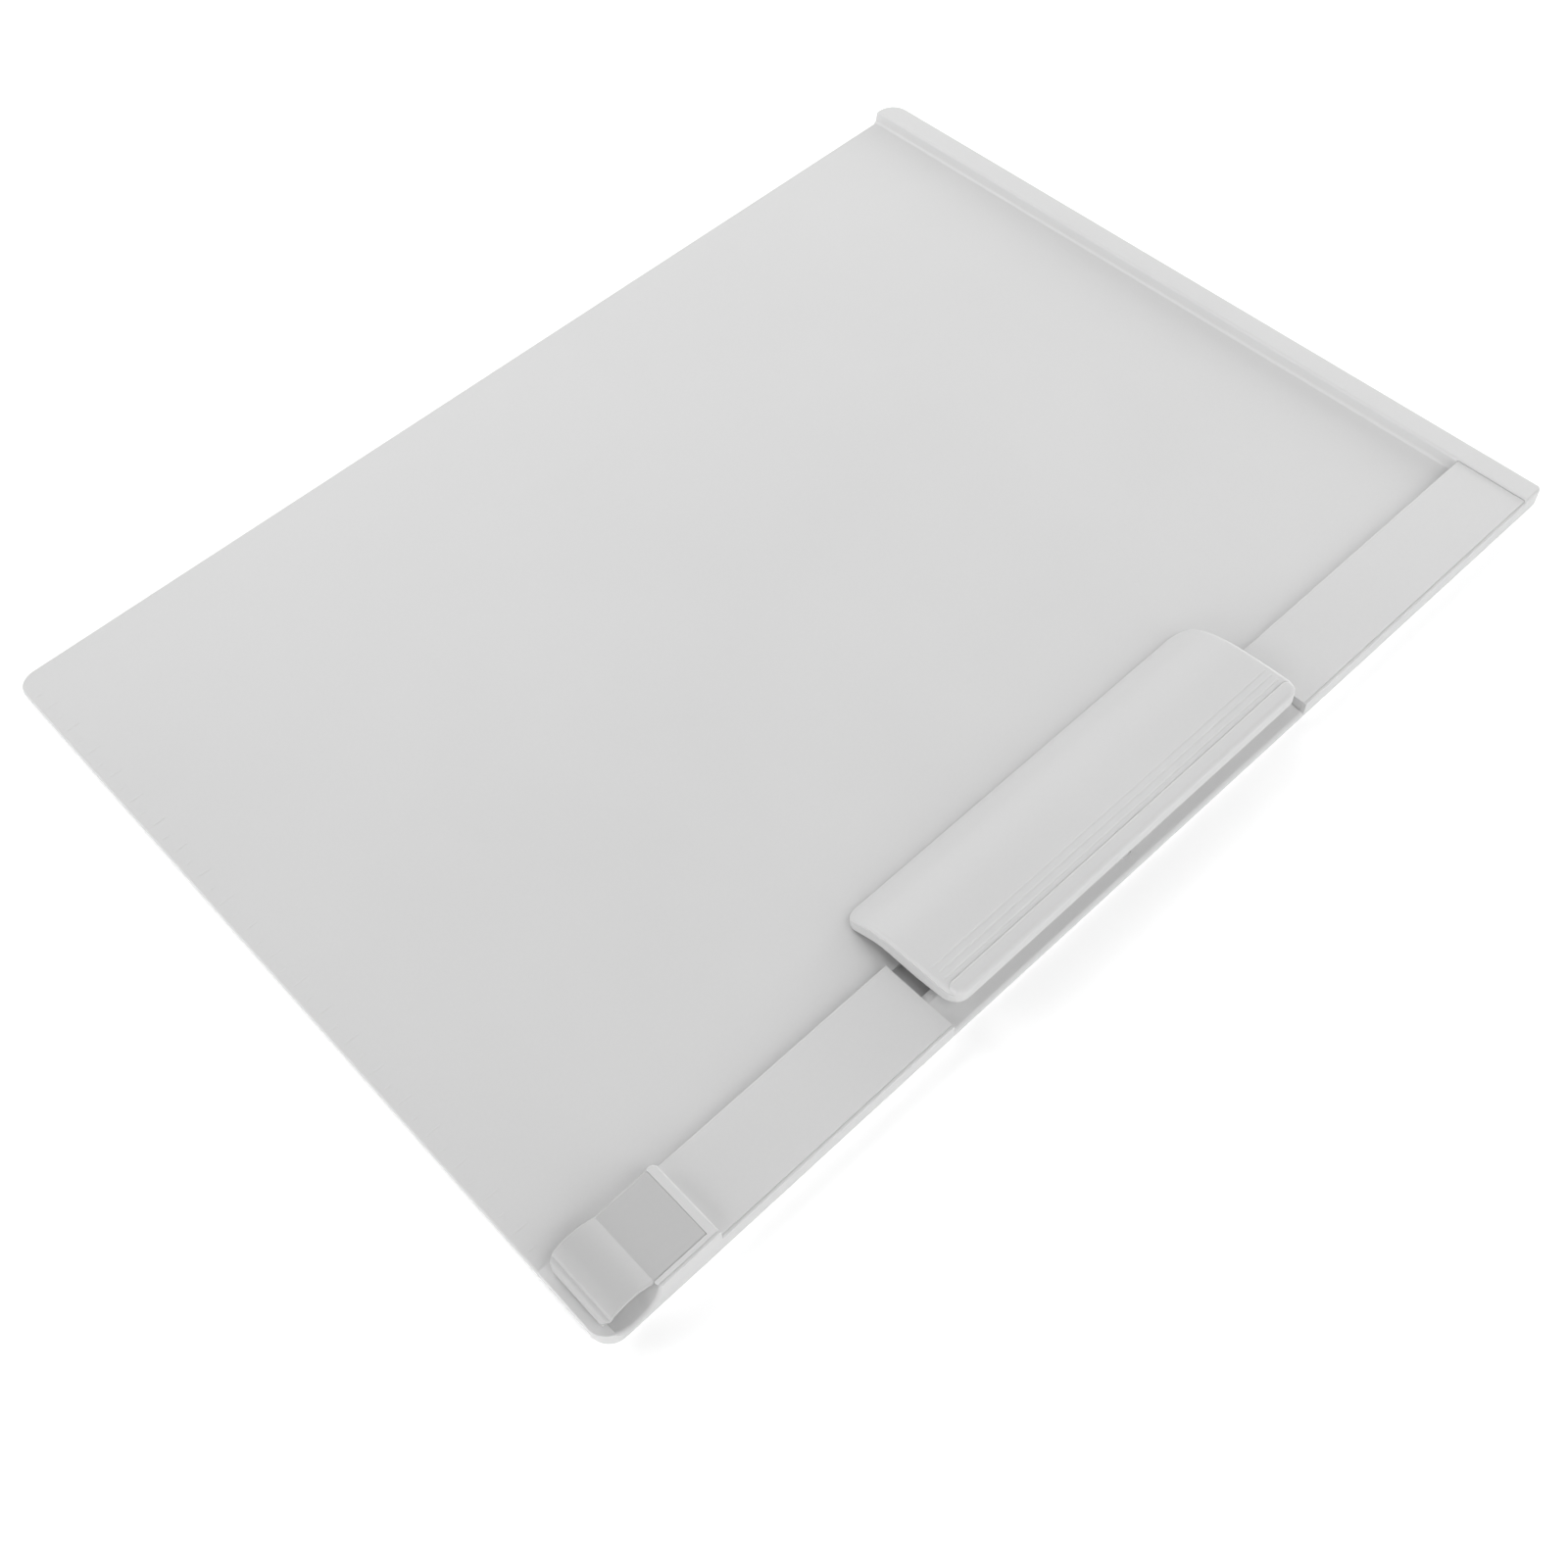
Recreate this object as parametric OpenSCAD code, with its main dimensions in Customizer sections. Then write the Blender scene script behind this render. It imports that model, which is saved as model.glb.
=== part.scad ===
// Portable drawing board: a landscape A4 panel with a raised rail, a ruler edge,
// a header strip that carries a sprung paper clip, and a sprung pen holder.
// Origin: centre of the underside. X runs along the long edge, the header is at -Y.

/* [Board] */
// Length of the panel along X
board_l = 315; // [300:1:330]
// Depth of the panel along Y
board_w = 235; // [225:1:245]
// Thickness of the panel
board_t = 2.4; // [2.2:0.1:2.8]
// Plan radius of three corners
corner_r = 5; // [4:0.5:8]
// Plan radius of the corner where the rail meets the header
tight_corner_r = 1.5; // [1.2:0.1:3]
// Softening of the panel's edges
edge_soft = 0.7; // [0.3:0.1:0.8]

/* [Rail] */
// Width of the raised rail's flat top
rail_w = 6.3; // [5:0.1:8]
// Height of the rail above the underside
rail_h = 5.9; // [5.6:0.1:7]

/* [Header] */
// Depth of the header strip along Y
header_w = 20.9; // [20:0.1:22]
// Height of the header strip above the underside
header_h = 5.4; // [5.2:0.1:5.6]
// Thickness of the tray floor under the header
tray_floor = 1.2; // [1:0.1:1.4]
// Thickness of the header's outer wall
header_wall = 1.2; // [1:0.1:1.5]

/* [Clip] */
// X position of the clip's middle
clip_x = 1.1; // [-3:0.1:3]
// Length of the clip lever along X
lever_l = 116.4; // [110:0.1:117]
// Length of the recess that the lever sits in
recess_l = 120.2; // [120:0.1:124]
// Height of the hinge axis above the underside
pin_z = 4.4; // [4.3:0.1:4.6]
// Distance of the hinge axis behind the front edge
pin_back = 15; // [14.8:0.1:15.2]
// Diameter of the hinge pin
pin_d = 2.5; // [2:0.1:2.8]
// Diameter of the hanging hole
hang_d = 6.6; // [5:0.1:6.8]

/* [Pen holder] */
// Radius of the trough that the pen lies in
trough_r = 6.2; // [5.8:0.1:6.4]
// Height of the raised block above the underside
block_h = 9.2; // [9:0.1:9.5]
// Thickness of the spring leaf
leaf_t = 1.1; // [0.9:0.1:1.2]
// Height of the leaf's hump above its flat part
hump_h = 1.9; // [1.4:0.1:2]

/* [Ruler] */
// Spacing of the ruler's marks
mark_step = 5; // [5:5:10]
// Length of the long marks
mark_long = 3.7; // [3:0.1:5]
// Length of the short marks
mark_short = 1.5; // [1:0.1:2.5]

/* [Hidden] */

shell_grey = [0.84, 0.84, 0.84];
steel_grey = [0.62, 0.63, 0.64];
rubber_grey = [0.45, 0.45, 0.46];

gap = 0.1;                       // clearance between fixed pieces
eps = 0.02;                      // overshoot of a cut
half_l = board_l / 2;
half_w = board_w / 2;
front_y = -half_w;               // outer face of the header
inner_y = front_y + header_w;    // inner edge of the header
rail_x = half_l - rail_w;        // inner edge of the rail's top
rim_w = header_wall / 2;         // visible rim of the outer wall
end_wall = 3.5;                  // left end wall of the header, beside the trough
rim_z = header_h - 0.2;          // top of the outer wall
plate_t = 1.2;                   // edge of a cover's top plate, over the shelf in the wall
shelf_z = header_h - plate_t;    // shelf in the wall that a cover's edge rests on
recess_x0 = clip_x - recess_l / 2;
recess_x1 = clip_x + recess_l / 2;
recess_rim_z = 1.9;              // front wall where the finger scoop runs out

// Pen holder
block_x0 = -half_l + 15;         // left face of the raised block
block_x1 = -half_l + 31.8;       // right face of the raised block
trough_x = -half_l + 8.9;
trough_z = trough_r + 1.9;
leaf_x1 = block_x1 - 3;          // root end of the leaf
leaf_y0 = front_y + 2;           // front edge of the leaf
leaf_seat_z = block_h - leaf_t - 0.2;
leaf_end_z = 5.7;                // lowest point of the leaf's curled end
leaf_axis_x = leaf_x1 - 0.5;
leaf_tongue_x = leaf_x1 - 2;

// Clip
pin_y = front_y + pin_back;
pocket_y0 = front_y + 10.2;      // front wall of the hinge pocket
pocket_y1 = inner_y - 1.1;       // back wall of the hinge pocket
pocket_z = 1.9;
crest_y = front_y + 8.3;
crest_z = 5.2;
hang_y = front_y + 6.3;
lug_r = 2.2;
lug_t = 3;
lug_outer = 52;                  // cradle lugs, from the clip's middle
lug_inner = 16;
lever_lug_gap = 0.2;
jaw_y = front_y + 36.9;          // jaw edge of the lever
lip_y = front_y + 1.3;           // front face of the lever's lip
lip_z = 9;                       // bottom of the lip
skirt_t = 1.8;                   // end walls of the lever
lever_t = 2;                     // top wall of the lever
pad_y0 = jaw_y - 3.6;
pad_w = 2.8;
pad_top = 3.7;

// Torsion spring
wire_d = 0.8;
coil_r = 1.9;
coil_turns = 10;
coil_pitch = 0.95;
coil_x = 26;                     // start of the coil, from the clip's middle
coil_steps = 12;                 // rings in a turn

// Countersunk screws, driven from below
screw_d = 2;
screw_top = 3.9;
head_d = 3.8;
head_t = 0.8;
boss_d = 5;

left_screws = [for (x = [-118, -92, -66]) [x, inner_y - 8]];
right_screws = [for (x = [68, 94, 120, 144]) [x, inner_y - 8]];
pen_screws = [for (y = [front_y + 5, inner_y - 5]) [block_x1 - 10, y]];
cradle_screws_at = [for (s = [-1, 1], d = [10, 44]) [clip_x + s * d, crest_y + 0.3]];
all_screws = concat(left_screws, right_screws, pen_screws, cradle_screws_at);

// Lever outline in Y and Z: outer top from jaw to lip, bottom rim back to the jaw
lever_top = [[jaw_y, 2.6], [jaw_y - 0.2, 3.3], [jaw_y - 1.9, 5.6], [jaw_y - 4.3, 7.8],
             [jaw_y - 7.8, 9.9], [jaw_y - 12, 11.3], [jaw_y - 17, 12.2], [jaw_y - 24, 12.75],
             [lip_y + 3.7, 12.95]];
lever_lip = [[lip_y + 3.6, 13.3], [lip_y + 1.5, 13.4], [lip_y + 0.5, 12.9], [lip_y, 12],
             [lip_y, lip_z]];
lever_rim = [[lip_y + 1.5, lip_z], [lip_y + 8, 8], [lip_y + 13, 7.4], [lip_y + 20.5, 7.3],
             [lip_y + 24, 6.9], [lip_y + 27, 5.8], [lip_y + 31, 3.9], [lip_y + 33, 2.6]];
// Hollow under the lever's top wall, from the lip to the jaw bar
lever_hollow = [[lip_y + 1.6, -1], [lip_y + 1.6, 10.9], [jaw_y - 24, 10.7], [jaw_y - 17, 10.2],
                [jaw_y - 12, 9.3], [jaw_y - 8, 8], [jaw_y - 5.4, 6.2], [jaw_y - 4.4, 4.2],
                [jaw_y - 4.4, -1]];
ridge_ys = [for (i = [0 : 2]) lip_y + 5.5 + 1.95 * i];

corners = [[-1, -1, corner_r], [-1, 1, corner_r], [1, 1, corner_r + 1], [1, -1, tight_corner_r]];

// One post in each corner of the board's plan, drawn in by shrink
module corner_posts(z0, z1, shrink) {
  for (c = corners)
    translate([c[0] * (half_l - c[2]), c[1] * (half_w - c[2]), z0])
      cylinder(r = c[2] - shrink, h = z1 - z0, $fn = 32);
}

// The board's plan as a solid whose lower and upper edges are softened
module plan_solid(z1, soft_top) {
  hull() {
    corner_posts(edge_soft, z1 - soft_top, 0);
    corner_posts(0, z1, edge_soft);
  }
}

module box(x0, x1, y0, y1, z0, z1) {
  translate([x0, y0, z0]) cube([x1 - x0, y1 - y0, z1 - z0]);
}

// Extrudes an outline given in Y and Z along X
module along_x(x0, x1) {
  translate([x0, 0, 0]) rotate([90, 0, 90]) linear_extrude(height = x1 - x0) children();
}

// Extrudes an outline given in X and Z along Y, from y0 to y1
module along_y(y0, y1) {
  translate([0, y1, 0]) rotate([90, 0, 0]) linear_extrude(height = y1 - y0) children();
}

module rod_x(x0, x1, y, z, d) {
  translate([x0, y, z]) rotate([0, 90, 0]) cylinder(d = d, h = x1 - x0, $fn = 48);
}

module rail_outline() {
  polygon([[rail_x - 1.6, board_t - 0.1], [rail_x - 1, board_t + 0.2], [rail_x - 0.5, board_t + 1],
           [rail_x - 0.2, rail_h - 0.6], [rail_x + 0.4, rail_h], [half_l - 0.7, rail_h],
           [half_l, rail_h - 0.7], [half_l, board_t - 0.1]]);
}

module front_wall() {
  box(-half_l, half_l, front_y, inner_y + gap, board_t - 0.1, rim_z);
  box(block_x0 - 1, block_x1 - 0.4, front_y, front_y + header_wall, rim_z - 0.1, block_h - 0.2);
}

module tray() {
  intersection() {
    hull() corner_posts(tray_floor, block_h + 1, header_wall);
    box(-half_l + end_wall, rail_x - 0.3, front_y, inner_y + gap, tray_floor, block_h + 1);
  }
}

// Shelf cut in the outer wall: low along the covers, high on the pen holder's block
module wall_shelf() {
  intersection() {
    hull() corner_posts(shelf_z, block_h + 1, rim_w);
    union() {
      box(block_x1 - 0.5, rail_x - 0.3, front_y, inner_y, shelf_z, block_h + 1);
      box(-half_l, block_x1, front_y, inner_y, block_h - plate_t, block_h + 1);
    }
  }
}

module trough() {
  translate([trough_x, inner_y + 1, trough_z])
    rotate([90, 0, 0]) cylinder(r = trough_r, h = header_w + 3, $fn = 96);
}

module hanging_bore() {
  translate([clip_x, hang_y, -1]) cylinder(d = hang_d, h = 9, $fn = 64);
}

module screw_hole(p) {
  translate([p[0], p[1], -eps]) cylinder(d1 = head_d + 0.1, d2 = screw_d + 0.1, h = head_t + 0.1, $fn = 48);
  translate([p[0], p[1], 0]) cylinder(d = screw_d + 0.2, h = tray_floor + 1, $fn = 48);
}

// Pilot bore in a piece that stands in the tray
module pilot(p) {
  translate([p[0], p[1], tray_floor - 1]) cylinder(d = screw_d, h = screw_top - tray_floor + 1.1, $fn = 48);
}

module screw(p) {
  translate([p[0], p[1], 0]) difference() {
    union() {
      translate([0, 0, 0.1]) cylinder(d1 = head_d - 0.4, d2 = screw_d, h = head_t, $fn = 48);
      translate([0, 0, head_t]) cylinder(d = screw_d, h = screw_top - head_t, $fn = 48);
    }
    for (a = [0, 90])
      rotate([0, 0, a]) translate([-1, -0.2, 0]) cube([2, 0.4, 0.7]);
  }
}

module board_panel() {
  color(shell_grey) difference() {
    union() {
      plan_solid(board_t, edge_soft);
      intersection() {
        plan_solid(block_h, 0.1);
        union() {
          along_y(-half_w, half_w) rail_outline();
          front_wall();
        }
      }
    }
    tray();
    wall_shelf();
    box(recess_x0, recess_x1, front_y - 1, inner_y, recess_rim_z, block_h);
    trough();
    for (p = all_screws) screw_hole(p);
    hanging_bore();
  }
}

module ruler_scale() {
  marks = floor((half_w - inner_y - 6) / mark_step);
  color("white") for (i = [0 : marks]) {
    mark_l = (i * mark_step) % 10 == 0 ? mark_long : mark_short;
    translate([-half_l + 1.6, inner_y + 0.8 + i * mark_step - 0.15, board_t]) cube([mark_l, 0.3, 0.06]);
  }
}

// A hollow cover: top plate, ribs, end walls and an inner wall that stand in the tray
module header_cover(x0, x1, screws) {
  wall = 1.4;
  plate_z = header_h - 2;
  difference() {
    union() {
      box(x0, x1, front_y + header_wall + gap, inner_y, tray_floor, shelf_z + eps);
      box(x0, x1, front_y + rim_w + gap, inner_y, shelf_z, header_h);
    }
    difference() {
      box(x0 + wall, x1 - wall, front_y + header_wall + gap + wall, inner_y - wall, -1, plate_z);
      for (p = screws) translate([p[0], p[1], 0]) cylinder(d = boss_d, h = header_h, $fn = 48);
      for (x = [x0 + 14 : 13 : x1 - 8]) box(x - 0.5, x + 0.5, front_y, inner_y, tray_floor + 1, header_h);
    }
    for (p = screws) pilot(p);
  }
}

module header_cover_left() {
  color(shell_grey) header_cover(block_x1 + gap, recess_x0, left_screws);
}

module header_cover_right() {
  color(shell_grey) header_cover(recess_x1, rail_x - 0.4, right_screws);
}

// Concave fall of the finger scoop from its crest to the front edge
function scoop_z(y) =
  let (u = (y - front_y) / (crest_y - front_y)) recess_rim_z + (crest_z - recess_rim_z) * pow(max(u, 0), 2.2);

module cradle_outline() {
  wall_y = front_y + header_wall;
  scoop = [for (i = [0 : 12]) let (y = crest_y + (wall_y - crest_y) * i / 12) [y, scoop_z(y)]];
  polygon(concat([[wall_y, tray_floor], [inner_y, tray_floor], [inner_y, board_t + 0.7],
                  [pocket_y1, board_t + 0.7], [pocket_y1, pocket_z], [pocket_y0, pocket_z],
                  [pocket_y0, crest_z - 0.6]], scoop));
}

module cradle_lug(x) {
  box(x, x + lug_t, pin_y - lug_r, pin_y + lug_r, pocket_z - 0.1, pin_z);
  rod_x(x, x + lug_t, pin_y, pin_z, 2 * lug_r);
}

module clip_cradle() {
  color(shell_grey) difference() {
    union() {
      along_x(recess_x0 + gap, recess_x1 - gap) cradle_outline();
      for (s = [-1, 1], d = [lug_outer, lug_inner])
        cradle_lug(clip_x + s * (d + lug_t / 2) - lug_t / 2);
    }
    rod_x(recess_x0, recess_x1, pin_y, pin_z, pin_d + 0.02);
    hanging_bore();
    for (p = cradle_screws_at) pilot(p);
  }
}

module lever_plan(inset) {
  r = 4.5;
  hull() for (sx = [-1, 1], y = [lip_y + r, jaw_y - r])
    translate([clip_x + sx * (lever_l / 2 - r), y, 0]) cylinder(r = r - inset, h = 20, $fn = 32);
}

module lever_shell() {
  for (y = ridge_ys)
    box(clip_x - 56.2, clip_x + 56.2, y - 0.2, y + 0.2, 12.6, 13.05);
  difference() {
    intersection() {
      along_x(clip_x - lever_l / 2, clip_x + lever_l / 2)
        polygon(concat(lever_top, lever_lip, lever_rim));
      lever_plan(0);
    }
    intersection() {
      along_x(clip_x - lever_l / 2 + skirt_t, clip_x + lever_l / 2 - skirt_t) polygon(lever_hollow);
      lever_plan(skirt_t);
    }
    box(clip_x - 57.6, clip_x + 57.6, lip_y + 3.6, lip_y + 4, 12.3, 14);
  }
}

module lever_lug(x) {
  box(x, x + lug_t, pin_y - lug_r, pin_y + lug_r, pin_z, 11.2);
  rod_x(x, x + lug_t, pin_y, pin_z, 2 * lug_r);
}

module clip_lever() {
  lug_at = [lug_outer - lug_t - lever_lug_gap, lug_inner + lug_t + lever_lug_gap];
  color(shell_grey) difference() {
    union() {
      lever_shell();
      for (s = [-1, 1], d = lug_at) lever_lug(clip_x + s * (d + lug_t / 2) - lug_t / 2);
      for (x = [-46, -30, -12, 12, 30, 46])
        box(clip_x + x - 0.6, clip_x + x + 0.6, lip_y + 1, lip_y + 9, 9.6, 11.2);
    }
    rod_x(recess_x0, recess_x1, pin_y, pin_z, pin_d + 0.1);
    box(clip_x - 54.1, clip_x + 54.1, pad_y0, pad_y0 + pad_w, 1, pad_top);
  }
}

module jaw_pad() {
  color(rubber_grey) difference() {
    box(clip_x - 54, clip_x + 54, pad_y0 + 0.1, pad_y0 + pad_w - 0.1, board_t + 0.05, pad_top);
    for (i = [0 : 1])
      box(clip_x - 55, clip_x + 55, pad_y0 + 0.8 + 0.9 * i, pad_y0 + 1.1 + 0.9 * i, 1, board_t + 0.3);
  }
}

module hinge_pin() {
  color(steel_grey) rod_x(clip_x - 56, clip_x + 56, pin_y, pin_z, pin_d);
}

module pin_retainers() {
  color(steel_grey) for (s = [-1, 1])
    translate([clip_x + s * 55.4, pin_y, pin_z]) rotate([0, 90, 0])
      difference() {
        cylinder(r = 2.2, h = 0.5, center = true, $fn = 48);
        cylinder(d = pin_d + 0.02, h = 1, center = true, $fn = 48);
      }
}

// Centre line of the spring: lower leg in the pocket, coil about the pin, upper leg to the lever
function coil_point(i) =
  let (a = 180 - 360 * i / coil_steps)
  [coil_x + coil_pitch * i / coil_steps, pin_y + coil_r * sin(a), pin_z + coil_r * cos(a)];
coil_last = coil_turns * coil_steps + coil_steps / 2;
spring_path = concat(
  [[coil_x - 0.4, pocket_y0 + 0.7, pocket_z + 0.45], [coil_x - 0.2, pin_y - 2.2, pocket_z + 0.5]],
  [for (i = [0 : coil_last]) coil_point(i)],
  [[coil_x + coil_pitch * coil_last / coil_steps + 0.2, pin_y - 2.4, pin_z + 2.7],
   [coil_x + coil_pitch * coil_last / coil_steps + 0.3, lip_y + 5.5, 10.4]]);

function unit(v) = v / norm(v);

// Sweeps a round wire of six sides along a path that never runs along X
module wire(path) {
  n = len(path);
  sides = 6;
  rings = [for (i = [0 : n - 1])
    let (t = unit(path[min(i + 1, n - 1)] - path[max(i - 1, 0)]),
         u = unit(cross(t, [1, 0, 0])), v = cross(t, u))
    for (k = [0 : sides - 1])
      path[i] + wire_d / 2 * (u * cos(360 * k / sides) + v * sin(360 * k / sides))];
  skin = [for (i = [0 : n - 2], k = [0 : sides - 1])
    let (k2 = (k + 1) % sides)
    [i * sides + k, i * sides + k2, (i + 1) * sides + k2, (i + 1) * sides + k]];
  caps = [[for (k = [sides - 1 : -1 : 0]) k], [for (k = [0 : sides - 1]) (n - 1) * sides + k]];
  polyhedron(points = rings, faces = concat(skin, caps), convexity = 6);
}

module torsion_spring_right() {
  color(steel_grey) translate([clip_x, 0, 0]) wire(spring_path);
}

module torsion_spring_left() {
  color(steel_grey) translate([clip_x, 0, 0]) mirror([1, 0, 0]) wire(spring_path);
}

module pen_holder_block() {
  x0 = -half_l + end_wall + gap;
  wall_y = front_y + header_wall;
  color(shell_grey) difference() {
    union() {
      box(x0, block_x1, wall_y, inner_y, tray_floor, header_h - 0.5);
      box(block_x0 - 1, block_x1 - 0.4, wall_y, inner_y, tray_floor, block_h);
      box(block_x1 - 0.5, block_x1, front_y + rim_w + gap, inner_y, shelf_z, header_h);
      box(block_x0 - 1, block_x1 - 0.4, front_y + rim_w + gap, inner_y, block_h - plate_t, block_h);
    }
    trough();
    box(-half_l, leaf_x1 + 0.3, leaf_y0 - 0.25, inner_y + 1, leaf_seat_z, block_h + 1);
    box(leaf_tongue_x - 1.3, leaf_tongue_x + 1.1, leaf_y0 + 1.6, inner_y - 1.6, 4.6, block_h);
    for (p = pen_screws) pilot(p);
  }
}

// Leaf outline: flat root, arched rise to the hump, then a full curl down to the end
rise_l = trough_r;
crest_x = trough_x;
end_run = 6.7;
rise_r = (rise_l * rise_l + hump_h * hump_h) / (2 * hump_h);
function end_z(i, drop) = leaf_end_z + (block_h + hump_h - drop - leaf_end_z) * pow(cos(10 * i), 0.8);
function rise_z(u) = hump_h - rise_r + sqrt(pow(rise_r, 2) - pow(rise_l * (1 - u), 2));
leaf_upper = concat(
  [[leaf_x1, block_h]],
  [for (i = [0 : 6]) [crest_x + rise_l * (1 - i / 6), block_h + rise_z(i / 6)]],
  [for (i = [1 : 9]) [crest_x - end_run * sin(10 * i), end_z(i, 0)]]);
leaf_lower = concat(
  [for (i = [9 : -1 : 1]) [crest_x - (end_run - leaf_t) * sin(10 * i), end_z(i, leaf_t)]],
  [for (i = [6 : -1 : 0]) [crest_x + (rise_l - 0.2) * (1 - i / 6), block_h - leaf_t + rise_z(i / 6)]],
  [[leaf_x1, block_h - leaf_t]]);

module pen_clip_leaf() {
  color(shell_grey) union() {
    intersection() {
      along_y(leaf_y0, inner_y - 0.4) polygon(concat(leaf_upper, leaf_lower));
      hull() {
        box(crest_x - 3, leaf_x1 + 1, leaf_y0, inner_y, 0, 20);
        for (y = [leaf_y0 + 2, inner_y - 2.4])
          translate([crest_x - end_run + 2, y, 0]) cylinder(r = 2, h = 20, $fn = 32);
      }
    }
    box(leaf_tongue_x - 0.5, leaf_tongue_x + 0.5, leaf_y0 + 2.2, inner_y - 2.2, 5.4, block_h - leaf_t + 0.1);
  }
}

module cradle_screws() {
  color(steel_grey) for (p = cradle_screws_at) screw(p);
}

module left_cover_screws() {
  color(steel_grey) for (p = left_screws) screw(p);
}

module right_cover_screws() {
  color(steel_grey) for (p = right_screws) screw(p);
}

module pen_holder_screws() {
  color(steel_grey) for (p = pen_screws) screw(p);
}

board_panel();
ruler_scale();
header_cover_left();
header_cover_right();
clip_cradle();
clip_lever();
jaw_pad();
hinge_pin();
pin_retainers();
torsion_spring_left();
torsion_spring_right();
pen_holder_block();
pen_clip_leaf();
cradle_screws();
left_cover_screws();
right_cover_screws();
pen_holder_screws();
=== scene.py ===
import math

import bmesh
import bpy
from mathutils import Matrix, Vector


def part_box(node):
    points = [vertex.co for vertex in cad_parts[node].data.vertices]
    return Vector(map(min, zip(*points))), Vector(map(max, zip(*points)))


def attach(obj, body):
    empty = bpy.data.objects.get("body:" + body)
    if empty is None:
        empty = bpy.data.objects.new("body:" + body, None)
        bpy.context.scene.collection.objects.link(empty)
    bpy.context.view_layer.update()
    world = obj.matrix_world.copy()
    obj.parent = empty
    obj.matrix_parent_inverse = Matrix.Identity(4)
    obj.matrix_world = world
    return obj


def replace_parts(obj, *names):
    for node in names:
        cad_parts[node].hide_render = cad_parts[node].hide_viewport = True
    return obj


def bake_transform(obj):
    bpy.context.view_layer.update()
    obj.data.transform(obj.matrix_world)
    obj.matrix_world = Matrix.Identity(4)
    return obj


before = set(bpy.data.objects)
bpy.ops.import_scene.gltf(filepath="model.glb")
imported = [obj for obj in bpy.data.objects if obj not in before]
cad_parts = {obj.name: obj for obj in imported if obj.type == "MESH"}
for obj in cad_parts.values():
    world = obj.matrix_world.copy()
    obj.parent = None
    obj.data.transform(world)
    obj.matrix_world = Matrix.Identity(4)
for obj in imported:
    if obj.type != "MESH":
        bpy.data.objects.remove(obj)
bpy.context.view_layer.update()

# Every length below is in millimetres; MM turns it into the frame's metres.
MM = 0.001


def node_box(node):
    """Lowest and highest corner of a CAD node, in millimetres."""
    low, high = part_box(node)
    return [c / MM for c in low], [c / MM for c in high]


# ---------------------------------------------------------------- sizes, from the frame
(_, BY0, _), (HALF_L, HALF_W, WALL_TOP) = node_box("board_panel")
(MARK_X0, MARK_Y0, BOARD_T), (MARK_X1, MARK_Y1, _) = node_box("ruler_scale")
(RX0, _, TRAY_Z), (RX1, STRIP_Y, _) = node_box("clip_cradle")
(LX0, LIP_Y, _), (LX1, JAW_Y, _) = node_box("clip_lever")
_, (_, _, STRIP_Z) = node_box("header_cover_right")
(LEAF_X0, LEAF_Y0, _), (LEAF_X1, LEAF_Y1, _) = node_box("pen_clip_leaf")
_, (BLOCK_X1, _, BLOCK_Z) = node_box("pen_holder_block")
(PIN_X0, PIN_LOW_Y, PIN_LOW_Z), (PIN_X1, _, _) = node_box("hinge_pin")

CLIP_X = (LX0 + LX1) / 2
PIN_R = 1.25
PIN_Y, PIN_Z = PIN_LOW_Y + PIN_R, PIN_LOW_Z + PIN_R

GAP = 0.1               # clearance between fixed pieces
FAR = 20                # how far a cut reaches past the object
PAST = 2                # the same, for a cut that only has to clear the outline
TOL = 0.01              # how far off a face an edge may lie and still count as on it
FOLD = 25               # least angle, in degrees, of an edge that soften() rounds

# ---------------------------------------------------------------- mesh helpers


def arc(cx, cy, r, a0, a1, n):
    """n + 1 points on an arc about (cx, cy), from angle a0 to a1 in degrees."""
    steps = [math.radians(a0 + (a1 - a0) * i / n) for i in range(n + 1)]
    return [(cx + r * math.cos(a), cy + r * math.sin(a)) for a in steps]


def linked(obj):
    """Puts an object into the scene."""
    bpy.context.scene.collection.objects.link(obj)
    return obj


def mesh_object(name, verts, faces):
    """A new object from points in millimetres."""
    mesh = bpy.data.meshes.new(name)
    mesh.from_pydata([[c * MM for c in v] for v in verts], [], faces)
    bm = bmesh.new()
    bm.from_mesh(mesh)
    bmesh.ops.remove_doubles(bm, verts=bm.verts, dist=0.0005 * MM)
    bmesh.ops.recalc_face_normals(bm, faces=bm.faces)
    bm.to_mesh(mesh)
    bm.free()
    return linked(bpy.data.objects.new(name, mesh))


def loft(name, rings):
    """A closed skin through rings of equally many points, with a face over each end."""
    n = len(rings[0])
    verts = [p for ring in rings for p in ring]
    faces = []
    for i in range(len(rings) - 1):
        for k in range(n):
            a, b = i * n + k, i * n + (k + 1) % n
            faces.append((a, b, b + n, a + n))
    last = (len(rings) - 1) * n
    faces.append(tuple(range(n - 1, -1, -1)))
    faces.append(tuple(range(last, last + n)))
    return mesh_object(name, verts, faces)


def place(p, axis, t):
    """A point from its coordinate t along an axis and its other two in order."""
    coords = list(p)
    coords.insert("xyz".index(axis), t)
    return tuple(coords)


def prism(name, outline, axis, low, high):
    """Extrudes an outline along one axis."""
    return loft(name, [[place(p, axis, t) for p in outline] for t in (low, high)])


def turned(name, centre, profile, axis="z", steps=48):
    """A round body about an axis, from its radius and its place along the axis at each step."""
    rings = []
    for r, t in profile:
        rings.append([place(p, axis, t) for p in arc(*centre, r, 0, 360, steps)[:-1]])
    return loft(name, rings)


def block(name, x0, x1, y0, y1, z0, z1):
    """A box from its two places along each axis."""
    return prism(name, [(x0, y0), (x1, y0), (x1, y1), (x0, y1)], "z", z0, z1)


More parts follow.
